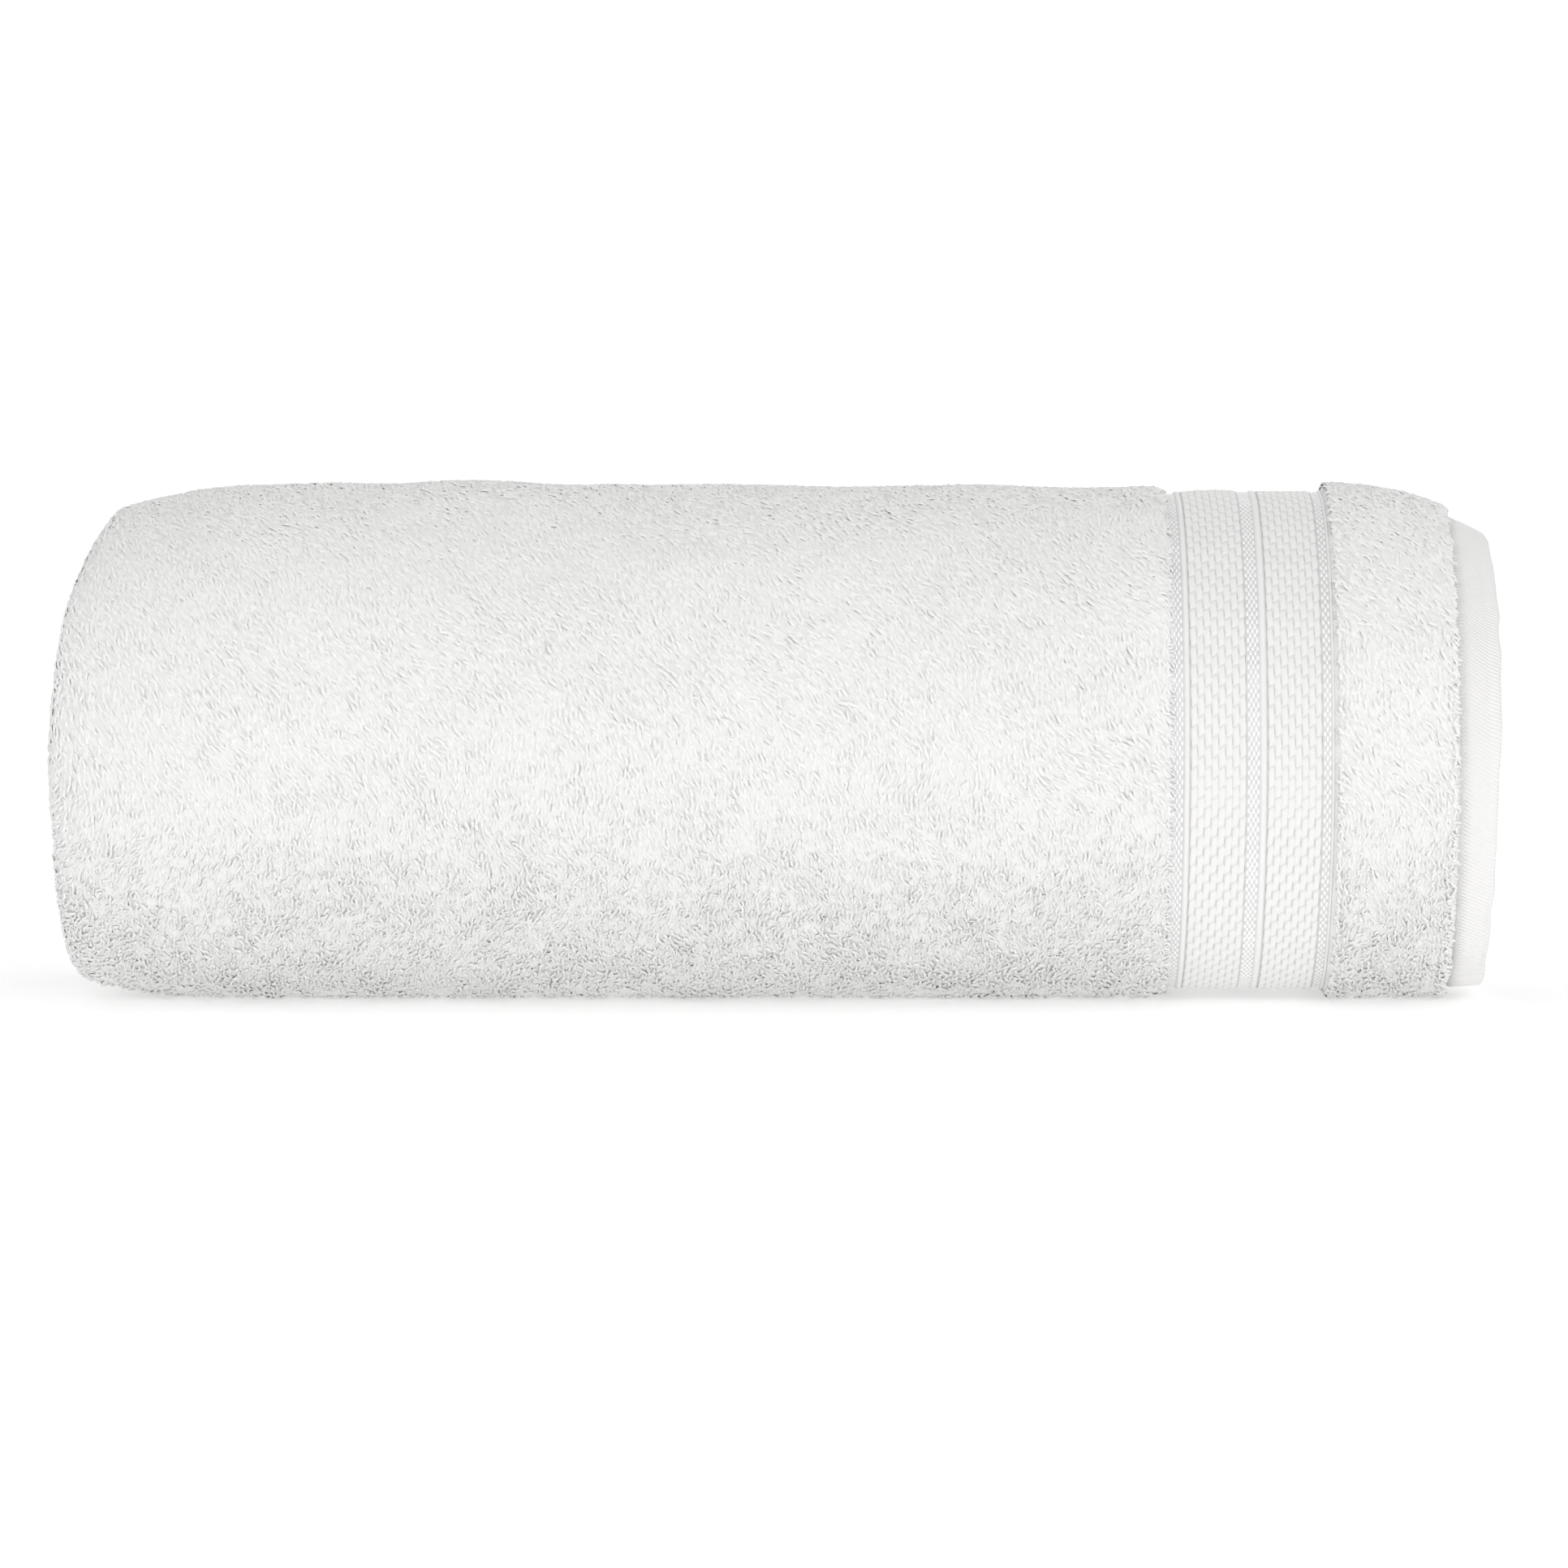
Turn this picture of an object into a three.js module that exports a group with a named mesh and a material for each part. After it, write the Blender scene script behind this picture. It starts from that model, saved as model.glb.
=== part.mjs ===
// A white terry bath sheet, folded twice along its length and then rolled up across its width.
// Millimetres, +Z up. +X runs along the roll, from the folded end to the hemmed end.
// The origin is on the floor, under the middle of the roll. The photographed side faces -Y.
import * as THREE from "three";

// The roll: four layers wound as one thick bundle.
const rollLength = 449;
const layerPitch = 5.97;
const layersInBundle = 4;
const bundleThickness = layerPitch * layersInBundle;
const stepsPerTurn = 48;
const bundleSteps = 145;
const tailAngle = THREE.MathUtils.degToRad(-52.5);
const coreSqueeze = 2;

// The slice of the lowest turn that the roll's own weight flattens.
const flattened = 1.3;

// The outer layer starts to round over into the fold here, and the flat hem lies under the pile.
const foldStart = -170;
const hemRecess = 2.8;

// The outer face from the folded end to the hemmed end, a row for each stretch of cloth.
const outerStretches = [
  { cloth: "long pile", from: foldStart, to: 121.6, recess: 0, cuts: 10 },
  { cloth: "woven border", from: 123.2, to: 171.9, recess: 3.2, cuts: 3 },
  { cloth: "short pile", from: 173.5, to: 209.4, recess: 0, cuts: 3 },
  { cloth: "hem", from: 211.4, to: 219, recess: hemRecess, cuts: 1 },
];

// The folded end: every turn of the bundle shows one plump fold. The outermost one tapers more
// slowly into the roll than an ellipse would, most of all at the top.
const foldedEnd = {
  grooveDepth: 12,
  foldCuts: 8,
  rimRetreat: 5,
  moreAtTop: 4.2,
  moreAboveAndBelow: 12.6,
  wobble: 1.6,
  rimTaper: 1.3,
  moreTaperAtTop: 0.55,
};

// The hemmed end across one turn, from the groove inside it to the groove outside it.
// share is the place across the bundle, and back is how far it lies behind the hem's edge.
const hemmedProfile = [
  { part: "inner groove", share: 0, back: 13 },
  { part: "last fold", share: 0.06, back: 7 },
  { part: "last fold", share: 0.16, back: 3.4 },
  { part: "last fold", share: 0.28, back: 2.4 },
  { part: "last fold", share: 0.4, back: 4 },
  { part: "last fold", share: 0.48, back: 8.5 },
  { part: "gap", share: 0.53, back: 14 },
  { part: "second hem", share: 0.57, back: 2.2 },
  { part: "second hem", share: 0.7, back: 1.8 },
  { part: "gap", share: 0.76, back: 14 },
  { part: "first hem", share: 0.81, back: 0.6 },
  { part: "first hem", share: 0.92, back: 0 },
];
const hemShoulder = 0.8;
const innerTurnsRetreat = 6;
const hemUneven = 0.9;

// The rim of the hemmed end is drawn in, most at its top, where the cloth sinks.
const drawnIn = { from: 176, even: 8, atTop: 5.5, atBack: 2 };

// Soft unevenness of the outer face, as waves along and around the roll.
const lumps = [
  { height: 0.5, along: 0.021, around: 2, phase: 0.4 },
  { height: 0.4, along: 0.047, around: 3, phase: 1.9 },
  { height: 0.3, along: 0.083, around: -5, phase: 4.1 },
];
const restingHalfAngle = 0.45;

const outerSteps = bundleSteps + stepsPerTurn;
const stepAngle = (2 * Math.PI) / stepsPerTurn;
const outerRadius = (bundleThickness * (bundleSteps + stepsPerTurn / 2)) / stepsPerTurn;
const bottomRadius = spiralRadius(bottomStep());
const centreHeight = bottomRadius - flattened;

function angleAt(step) {
  return tailAngle + (outerSteps - step) * stepAngle;
}

// The step of the outer face that lies straight down.
function bottomStep() {
  const turnFromTail = (1.5 * Math.PI - tailAngle) % (2 * Math.PI);
  return outerSteps - Math.round(turnFromTail / stepAngle);
}

// The radius of the line between two turns. Past the last turn it is the outer face.
function spiralRadius(step) {
  const turns = step / stepsPerTurn;
  if (turns < 1) {
    return bundleThickness * turns ** coreSqueeze;
  }
  // The outer layers have the longer way round, so they end first and the tail steps down.
  const layersEnded = Math.max(0, step - (outerSteps - (layersInBundle - 1)));
  return bundleThickness * turns - layerPitch * layersEnded;
}

function smooth(value) {
  return THREE.MathUtils.smoothstep(value, 0, 1);
}

// How much a radius shrinks towards the hemmed end.
function drawIn(angle, along) {
  const way = Math.max(0, (along - drawnIn.from) / (rollLength / 2 - drawnIn.from));
  const depth = drawnIn.even + drawnIn.atTop * Math.sin(angle) + drawnIn.atBack * Math.cos(angle);
  return (depth * way ** 2) / outerRadius;
}

function lumpAt(angle, along) {
  const fromBottom = Math.abs(Math.atan2(Math.cos(angle), -Math.sin(angle)));
  const clear = smooth((fromBottom - restingHalfAngle / 2) / restingHalfAngle);
  const waves = lumps.map(({ height, along: pace, around, phase }) => {
    return height * Math.sin(pace * along + around * angle + phase);
  });
  return clear * waves.reduce((sum, wave) => sum + wave, 0);
}

// A point of the roll from its place on the spiral and along the axis.
function place(radius, angle, along) {
  const drawn = radius * (1 - drawIn(angle, along));
  const across = drawn * Math.cos(angle);
  const up = centreHeight + drawn * Math.sin(angle);
  return [along, across, Math.max(0, up)];
}

// How far the folded end of a turn retreats behind the foremost one.
function foldRetreat(radius, angle) {
  const rim = (radius / outerRadius) ** 3;
  const { rimRetreat, moreAtTop, moreAboveAndBelow } = foldedEnd;
  const up = Math.sin(angle);
  const drop = rimRetreat + moreAtTop * up + moreAboveAndBelow * up ** 4;
  const wobble = foldedEnd.wobble * (1 + Math.sin(3 * angle + radius / bundleThickness));
  return drop * rim + wobble * (1 - rim / 2);
}

// The outer face's stations along the roll, between its two end lines.
function outerStations() {
  return outerStretches.flatMap(({ from, to, recess, cuts }) => {
    return Array.from({ length: cuts + 1 }, (_, cut) => {
      return { along: THREE.MathUtils.lerp(from, to, cut / cuts), recess };
    });
  });
}

// A closed mesh in the making: its points and its triangles.
class Surface {
  points = [];
  faces = [];

  add(point) {
    return this.points.push(point) - 1;
  }

  triangle(a, b, c) {
    this.faces.push(a, b, c);
  }

  // Joins two rows of points, each point to the one beside it.
  join(row, next) {
    for (let i = 0; i + 1 < row.length; i += 1) {
      this.triangle(row[i], row[i + 1], next[i]);
      this.triangle(row[i + 1], next[i + 1], next[i]);
    }
  }

  // Fills a flat outline from its first point.
  fill(outline) {
    for (let i = 1; i + 1 < outline.length; i += 1) {
      this.triangle(outline[0], outline[i], outline[i + 1]);
    }
  }

  geometry() {
    const made = new THREE.BufferGeometry();
    made.setAttribute("position", new THREE.Float32BufferAttribute(this.points.flat(), 3));
    made.setIndex(this.faces);
    made.computeVertexNormals();
    made.computeBoundingBox();
    const middle = made.boundingBox.getCenter(new THREE.Vector3());
    return made.translate(-middle.x, -middle.y, 0);
  }
}

// How far a step of the line between the turns has come out onto the outer face.
function comeOutside(step) {
  return smooth((step - bundleSteps) / layersInBundle);
}

// The line between the turns at one end, from the roll's eye out to the outer face.
function grooveLine(surface, recess, alongAt) {
  const line = [];
  for (let step = 0; step <= outerSteps; step += 1) {
    const outside = comeOutside(step);
    const radius = spiralRadius(step) - recess * outside;
    const angle = angleAt(step);
    line.push(surface.add(place(radius, angle, alongAt(radius, angle, outside))));
  }
  return line;
}

// One end of the roll: a profile across the bundle carried along the spiral.
function addEnd(surface, groove, recess, profileAt, turned) {
  const rows = [];
  for (let step = 0; step <= bundleSteps; step += 1) {
    const next = step + stepsPerTurn;
    const inside = spiralRadius(step);
    const outside = spiralRadius(next) - recess * comeOutside(next);
    const angle = angleAt(step);
    const outermost = next >= bundleSteps;
    const middle = profileAt(inside, outside, angle, outermost).map(([radius, along]) => {
      return surface.add(place(radius, angle, along));
    });
    rows.push([groove[step], ...middle, groove[next]]);
  }
  const wind = (row) => (turned ? [...row].reverse() : row);
  for (let step = 0; step < bundleSteps; step += 1) {
    surface.join(wind(rows[step]), wind(rows[step + 1]));
  }
  const eye = groove.slice(0, stepsPerTurn + 1);
  surface.fill(turned ? [eye[0], ...eye.slice(1).reverse()] : eye);
  surface.fill(wind(rows[0]).reverse());
  surface.fill(wind(rows[bundleSteps]));
}

function rimTaperAt(angle) {
  return foldedEnd.rimTaper + foldedEnd.moreTaperAtTop * Math.max(0, Math.sin(angle));
}

// The folded end's profile: a fold with its crown at the middle of the bundle.
function foldProfile(inside, outside, angle, outermost) {
  const middle = (inside + outside) / 2;
  const crown = -rollLength / 2 + foldRetreat(middle, angle);
  const innerDepth = foldedEnd.grooveDepth;
  const outerDepth = outermost ? foldStart - crown : foldedEnd.grooveDepth;
  const { foldCuts } = foldedEnd;
  return Array.from({ length: foldCuts - 1 }, (_, i) => {
    const turn = (Math.PI * (i + 1)) / foldCuts;
    const outward = turn > Math.PI / 2;
    const depth = outward ? outerDepth : innerDepth;
    const taper = outward && outermost ? rimTaperAt(angle) : 1;
    const radius = middle - ((outside - inside) / 2) * Math.cos(turn);
    return [radius, crown + depth * (1 - Math.sin(turn) ** taper)];
  });
}

// Where a hem's edge lies at a radius of the hemmed end, a little uneven round the roll.
function hemEdge(radius, angle) {
  const retreat = innerTurnsRetreat * (1 - radius / outerRadius);
  const uneven = hemUneven * (1 - Math.sin(2 * angle + radius / bundleThickness));
  return rollLength / 2 - retreat - uneven;
}

// The hemmed end's profile: a fold of pile, then two hems with gaps beside them.
function hemProfile(inside, outside, angle) {
  const edge = hemEdge((inside + outside) / 2, angle);
  return hemmedProfile.slice(1).map(({ share, back }) => {
    return [THREE.MathUtils.lerp(inside, outside, share), edge - back];
  });
}

function bathSheetGeometry() {
  const surface = new Surface();
  const leftGroove = grooveLine(surface, 0, (radius, angle, outside) => {
    const groove = -rollLength / 2 + foldRetreat(radius, angle) + foldedEnd.grooveDepth;
    return THREE.MathUtils.lerp(groove, foldStart, outside);
  });
  const rightGroove = grooveLine(surface, hemRecess, (radius, angle, outside) => {
    const back = THREE.MathUtils.lerp(hemmedProfile[0].back, hemShoulder, outside);
    return hemEdge(radius, angle) - back;
  });
  addEnd(surface, leftGroove, 0, foldProfile, false);
  addEnd(surface, rightGroove, hemRecess, hemProfile, true);

  const columns = [];
  for (let step = bundleSteps; step <= outerSteps; step += 1) {
    const angle = angleAt(step);
    const middle = outerStations().slice(1).map(({ along, recess }) => {
      const radius = spiralRadius(step) - recess + lumpAt(angle, along);
      return surface.add(place(radius, angle, along));
    });
    columns.push([leftGroove[step], ...middle, rightGroove[step]]);
  }
  for (let i = 0; i + 1 < columns.length; i += 1) {
    surface.join(columns[i], columns[i + 1]);
  }
  surface.join(columns[columns.length - 1], columns[0]);
  return surface.geometry();
}

function terry() {
  return new THREE.MeshStandardMaterial({ color: 0xf1f0ee, roughness: 0.95, metalness: 0 });
}

const roll = new THREE.Group();
const bathSheet = new THREE.Mesh(bathSheetGeometry(), terry());
bathSheet.name = "bath_sheet";
roll.add(bathSheet);

export default roll;
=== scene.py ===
import math
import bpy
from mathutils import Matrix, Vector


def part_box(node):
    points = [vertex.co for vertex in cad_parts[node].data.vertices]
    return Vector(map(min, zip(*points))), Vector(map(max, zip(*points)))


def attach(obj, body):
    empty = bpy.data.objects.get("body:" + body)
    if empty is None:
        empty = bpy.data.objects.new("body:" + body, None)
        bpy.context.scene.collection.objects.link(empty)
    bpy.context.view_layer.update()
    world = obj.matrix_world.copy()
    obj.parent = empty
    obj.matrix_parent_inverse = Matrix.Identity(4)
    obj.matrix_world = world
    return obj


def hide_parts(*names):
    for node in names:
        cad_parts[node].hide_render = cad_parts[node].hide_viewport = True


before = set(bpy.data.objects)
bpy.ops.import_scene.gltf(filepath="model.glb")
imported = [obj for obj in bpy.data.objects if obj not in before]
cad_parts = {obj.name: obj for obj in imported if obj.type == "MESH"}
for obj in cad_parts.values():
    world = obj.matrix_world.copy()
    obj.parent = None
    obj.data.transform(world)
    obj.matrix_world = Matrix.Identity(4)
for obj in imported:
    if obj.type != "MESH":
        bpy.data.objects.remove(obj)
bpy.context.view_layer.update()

from types import SimpleNamespace

import bpy
import numpy as np
from mathutils import Vector

# A white terry bath sheet, folded twice along its length and rolled up across its width.
# Sizes are in millimetres until a mesh is made. +X runs towards the hemmed end.
mm = 0.001
fullTurn = 2 * math.pi

roll = {  # the winding, the same as the solid's
    "length": 449.0,
    "layerPitch": 5.97,
    "layers": 4,
    "stepsPerTurn": 48,
    "bundleSteps": 145,  # from the roll's middle to the tail
    "tailAngle": math.radians(-52.5),
    "coreSqueeze": 2,  # the power by which the first turn closes in
    "flattened": 1.3,  # by its own weight
    "restingHalfAngle": 0.45,
    "foldStart": -170.0,
    "pileEnd": 121.6,  # where the long pile ends beside the border
    "drawnFrom": 176.0,  # the roll narrows from here to the hemmed end
    "drawnEven": 8.0,
    "drawnAtTop": 5.5,
    "drawnAtBack": 2.0,
    "lumps": [  # height, pace along, waves around, phase
        (0.5, 0.021, 2, 0.4),
        (0.4, 0.047, 3, 1.9),
        (0.3, 0.083, -5, 4.1),
    ],
}
thickness = roll["layerPitch"] * roll["layers"]
bundleTurns = roll["bundleSteps"] / roll["stepsPerTurn"]
outerTurns = bundleTurns + 1
outerRadius = thickness * (bundleTurns + 0.5)


def smooth(value):
    held = np.clip(value, 0, 1)
    return held * held * (3 - 2 * held)


def blend(a, b, share):
    return a + (b - a) * share


def overTop(angle, level, rate):
    # a share that rises from the foot of the roll to its top
    return smooth(level + rate * np.sin(angle))


def fromBottom(angle):
    return np.abs(np.arctan2(np.cos(angle), -np.sin(angle)))


def unit(vectors):
    return vectors / np.linalg.norm(vectors, axis=-1, keepdims=True)


def runningLength(steps):
    return np.concatenate([[0], np.cumsum(steps)])


def spiralRadius(turns):
    return np.where(turns < 1, thickness * turns ** roll["coreSqueeze"], thickness * turns)


def angleAt(turns):
    return roll["tailAngle"] + (outerTurns - turns) * fullTurn


def turnsAt(angle):
    # where the outer face passes an angle
    return outerTurns - ((angle - roll["tailAngle"]) % fullTurn) / fullTurn


straightDown = 1.5 * math.pi
centreHeight = thickness * turnsAt(straightDown) - roll["flattened"]


def lumpAt(angle, along):
    halfAngle = roll["restingHalfAngle"]
    clear = smooth((fromBottom(angle) - halfAngle / 2) / halfAngle)
    return clear * sum(
        height * np.sin(pace * along + around * angle + phase)
        for height, pace, around, phase in roll["lumps"]
    )


def place(radius, angle, along):
    way = np.maximum(0, (along - roll["drawnFrom"]) / (roll["length"] / 2 - roll["drawnFrom"]))
    depth = (
        roll["drawnEven"] + roll["drawnAtTop"] * np.sin(angle) + roll["drawnAtBack"] * np.cos(angle)
    )
    drawn = radius * (1 - depth * way ** 2 / outerRadius)
    across = centreAcross + drawn * np.cos(angle)
    up = centreHeight + drawn * np.sin(angle)
    return np.stack([along + 0 * drawn, across, up], axis=-1)


def centreOfWinding():
    # the solid is centred on its box, so its outer face says where the winding's centre is
    lastTurns = outerTurns - roll["layers"] / roll["stepsPerTurn"]
    turns = np.linspace(bundleTurns, lastTurns, 200)[:, None]
    along = np.linspace(roll["foldStart"], roll["pileEnd"], 60)[None, :]
    radius = spiralRadius(turns) + lumpAt(angleAt(turns), along)
    across = radius * np.cos(angleAt(turns))
    low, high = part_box("bath_sheet")
    return (low.y + high.y) / 2 / mm - (across.min() + across.max()) / 2


centreAcross = centreOfWinding()
print("winding: centre", round(centreAcross, 2), round(centreHeight, 2))

noiseSize = 64
noiseTables = {}


def unevenness(u, v, seed):
    # smooth and seeded, about -1 to 1, from a grid of random heights
    if seed not in noiseTables:
        noiseTables[seed] = np.random.default_rng(seed).uniform(-1, 1, (noiseSize, noiseSize))
    table = noiseTables[seed]
    iu, iv = np.floor(u).astype(int), np.floor(v).astype(int)
    fu, fv = smooth(u - iu), smooth(v - iv)
    corner = lambda a, b: table[(iu + a) % noiseSize, (iv + b) % noiseSize]
    low = blend(corner(0, 0), corner(1, 0), fu)
    high = blend(corner(0, 1), corner(1, 1), fu)
    return blend(low, high, fv)


view = {
    "frame": 1932,  # pixels across the photo
    "millimetresPerPixel": 0.2555,  # at the roll's middle
    "distance": 2750,
    "elevation": math.radians(4),
    "aim": (3.8, 0, 65.5),
    "sensor": 36,
    "clip": (0.05, 50),  # in metres
}


def addObject(name, data):
    thing = bpy.data.objects.new(name, data)
    bpy.context.collection.objects.link(thing)
    return thing


def addCamera():
    data = bpy.data.cameras.new("camera")
    camera = addObject("camera", data)
    width = view["frame"] * view["millimetresPerPixel"]
    data.sensor_fit = "HORIZONTAL"
    data.sensor_width = view["sensor"]
    data.lens = view["sensor"] * view["distance"] / width
    data.clip_start, data.clip_end = view["clip"]
    back = Vector((0, -math.cos(view["elevation"]), math.sin(view["elevation"])))
    camera.location = Vector(view["aim"]) * mm + back * view["distance"] * mm
    camera.rotation_euler = (-back).to_track_quat("-Z", "Y").to_euler()
    bpy.context.scene.camera = camera


studio = {
    "worldColour": (1, 1, 1),
    "worldStrength": 0.75,
    "lights": [  # name, place in metres, size, power
        ("keyLight", (0.8, -2.5, 1.1), 1.6, 15.9),
        ("topLight", (0.0, 0.4, 2.8), 2.4, 1.0),
    ],
    "aim": (0, 0, 0.08),
    "floorColour": (0.9, 0.9, 0.9),
    "floorPatches": 0.99,  # shade of the faint patches
    "floorBounce": 0.35,
    "floorGlow": -0.07,  # less of it in the picture, so that the contact shadow stays
}


def addLights():
    for name, spot, size, power in studio["lights"]:
        data = bpy.data.lights.new(name, "AREA")
        data.shape, data.size, data.energy = "SQUARE", size, power
        light = addObject(name, data)
        light.location = spot
        aim = Vector(studio["aim"]) - Vector(spot)
        light.rotation_euler = aim.to_track_quat("-Z", "Y").to_euler()
    world = bpy.data.worlds.new("studio")
    world.use_nodes = True
    background = world.node_tree.nodes["Background"]
    background.inputs["Color"].default_value = (*studio["worldColour"], 1)
    background.inputs["Strength"].default_value = studio["worldStrength"]
    bpy.context.scene.world = world
    bpy.context.scene.view_settings.view_transform = "Standard"


addCamera()
addLights()
print("camera and lights: set")


def setInputs(tree, node, inputs):
    # another node's socket is linked, and any other value is set
    for key, value in inputs.items():
        if isinstance(value, bpy.types.NodeSocket):
            tree.links.new(value, node.inputs[key])
        else:
            node.inputs[key].default_value = value
    return node


def addNode(tree, kind, inputs, **settings):
    node = tree.nodes.new("ShaderNode" + kind)
    for name, value in settings.items():
        setattr(node, name, value)
    return setInputs(tree, node, inputs)


def addMath(tree, operation, *values):
    return addNode(tree, "Math", dict(enumerate(values)), operation=operation).outputs[0]


def addStretch(tree, vector, factors):
    return addNode(tree, "VectorMath", {0: vector, 1: factors}, operation="MULTIPLY").outputs[0]


def addMix(tree, share, a, b):
    mix = addNode(tree, "Mix", {"Factor": share, "A": a, "B": b}, data_type="RGBA")
    return mix.outputs["Result"]


def newGroup(name, inputs, outputs):
    group = bpy.data.node_groups.new(name, "ShaderNodeTree")
    for label, kind, value in inputs:
        socket = group.interface.new_socket(label, in_out="INPUT", socket_type="NodeSocket" + kind)
        if value is not None:
            socket.default_value = value
    for label, kind in outputs:
        group.interface.new_socket(label, in_out="OUTPUT", socket_type="NodeSocket" + kind)
    entry, leave = group.nodes.new("NodeGroupInput"), group.nodes.new("NodeGroupOutput")
    return group, entry.outputs, leave


def makeCottonTint():
    # slow patches of slightly greyer and warmer white, as cotton pile shows
    group, entry, leave = newGroup(
        "cottonTint",
        [
            ("Cloth", "Vector", None),
            ("Colour", "Color", (0.9, 0.9, 0.9, 1)),
            ("Shade", "Color", (0.8, 0.8, 0.8, 1)),
            ("Scale", "Float", 8.0),
            ("Amount", "Float", 0.5),
        ],
        [("Colour", "Color")],
    )
    spot = {"Vector": entry["Cloth"], "Scale": entry["Scale"], "Detail": 5}
    noise = addNode(group, "TexNoise", spot)
    share = addMath(group, "MULTIPLY", noise.outputs["Fac"], entry["Amount"])
    setInputs(group, leave, {"Colour": addMix(group, share, entry["Colour"], entry["Shade"])})
    return group


def makeYarnFuzz():
    # stray fibres and the twist of the yarn
    group, entry, leave = newGroup(
        "yarnFuzz",
        [
            ("Cloth", "Vector", None),
            ("Scale", "Float", 60.0),
            ("Stretch", "Vector", (1, 1, 1)),
        ],
        [("Height", "Float")],
    )
    drawn = addStretch(group, entry["Cloth"], entry["Stretch"])
    spot = {"Vector": drawn, "Scale": entry["Scale"], "Detail": 4, "Roughness": 0.65}
    setInputs(group, leave, {"Height": addNode(group, "TexNoise", spot).outputs["Fac"]})
    return group


def makePackedLoops():
    # loops packed side by side: long domes, each a little higher or lower than its neighbours
    group, entry, leave = newGroup(
        "packedLoops",
        [
            ("Strokes", "Vector", None),
            ("Size", "Vector", (100, 40, 1)),
            ("Uneven", "Float", 0.3),
        ],
        [("Height", "Float")],
    )
    drawn = addStretch(group, entry["Strokes"], entry["Size"])
    spot = {"Vector": drawn, "Scale": 1, "Randomness": 0.9}
    cells = addNode(group, "TexVoronoi", spot, voronoi_dimensions="2D").outputs
    squared = addMath(group, "MULTIPLY", cells["Distance"], cells["Distance"])
    dome = addMath(group, "SUBTRACT", 1.0, squared)
    random = addNode(group, "SeparateColor", {0: cells["Color"]}).outputs[0]
    raised = addMath(group, "MULTIPLY_ADD", random, entry["Uneven"], dome)
    setInputs(group, leave, {"Height": raised})
    return group


def makeTwillLines():
    # fine raised lines across the cloth, at a slant
    group, entry, leave = newGroup(
        "twillLines",
        [
            ("Cloth", "Vector", None),
            ("Across", "Float", 30.0),
            ("Around", "Float", 100.0),
        ],
        [("Height", "Float")],
    )
    spot = addNode(group, "SeparateXYZ", {0: entry["Cloth"]}).outputs
    across = addMath(group, "MULTIPLY", spot[0], entry["Across"])
    turned = addMath(group, "MULTIPLY_ADD", spot[1], entry["Around"], across)
    wave = addMath(group, "SINE", addMath(group, "MULTIPLY", turned, fullTurn))
    setInputs(group, leave, {"Height": addMath(group, "MULTIPLY_ADD", wave, 0.5, 0.5)})
    return group


def makeFloatWeave():
    # leaning floats, each half its length lower than its neighbour, with narrow gaps round them;
    # the gaps are painted darker as their shade
    group, entry, leave = newGroup(
        "floatWeaveGapShade",
        [
            ("Weave", "Vector", None),
            ("Steps", "Vector", None),
            ("Slant", "Float", 0.08),
            ("Colour", "Color", (0.9, 0.9, 0.9, 1)),
            ("Gap Shade Colour", "Color", (0.6, 0.6, 0.6, 1)),
            ("Gap Shade Share", "Float", 0.6),
        ],
        [("Colour", "Color"), ("Height", "Float")],
    )
    calc = lambda *terms: addMath(group, *terms)
    sideSharpness, endSharpness, endDepth = 4.0, 7.0, 0.8
    cornerPull, evenDepth, leastDepth = -1.4, 0.35, 0.12
    spot = addNode(group, "SeparateXYZ", {0: entry["Weave"]}).outputs
    column = calc("FLOOR", spot[0])
    a = calc("MULTIPLY_ADD", calc("FRACT", spot[0]), 2.0, -1.0)
    dropped = calc("MULTIPLY_ADD", calc("MODULO", column, 2.0), -0.5, spot[1])
    leaned = calc("MULTIPLY_ADD", a, entry["Slant"], dropped)
    b = calc("MULTIPLY_ADD", calc("FRACT", leaned), 2.0, -1.0)
    # the gap beside a float is deep, and painted darker as shade, at two of its four corners; Steps
    # picks which two, by whether the light falls on the top or the foot of the roll
    which = addNode(group, "SeparateXYZ", {0: entry["Steps"]}).outputs[0]
    corner = calc("MULTIPLY", calc("MULTIPLY", a, b), which)
    beside = calc("MULTIPLY_ADD", corner, cornerPull, evenDepth)
    beside = calc("MINIMUM", calc("MAXIMUM", beside, leastDepth), 1.0)
    side = calc("MULTIPLY", calc("POWER", calc("ABSOLUTE", a), sideSharpness), beside)
    end = calc("MULTIPLY", calc("POWER", calc("ABSOLUTE", b), endSharpness), endDepth)
    gap = calc("MINIMUM", calc("ADD", side, end), 1.0)
    share = calc("MULTIPLY", gap, entry["Gap Shade Share"])
    colour = addMix(group, share, entry["Colour"], entry["Gap Shade Colour"])
    setInputs(group, leave, {"Colour": colour, "Height": calc("SUBTRACT", 1.0, gap)})
    return group


groups = {
    "tint": makeCottonTint(),
    "fuzz": makeYarnFuzz(),
    "packed": makePackedLoops(),
    "lines": makeTwillLines(),
    "floats": makeFloatWeave(),
}


def addGroup(tree, key, values):
    # a shared group with this material's values, reading the maps of the cloth that it needs
    maps = {"packed": ["strokes"], "floats": ["weave", "steps"]}.get(key, ["cloth"])
    spots = {m.capitalize(): addNode(tree, "UVMap", {}, uv_map=m).outputs["UV"] for m in maps}
    return addNode(tree, "Group", {**values, **spots}, node_tree=groups[key])


def newMaterial(name, inputs):
    material = bpy.data.materials.new(name)
    material.use_nodes = True
    tree = material.node_tree
    return material, tree, setInputs(tree, tree.nodes["Principled BSDF"], inputs)


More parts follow.
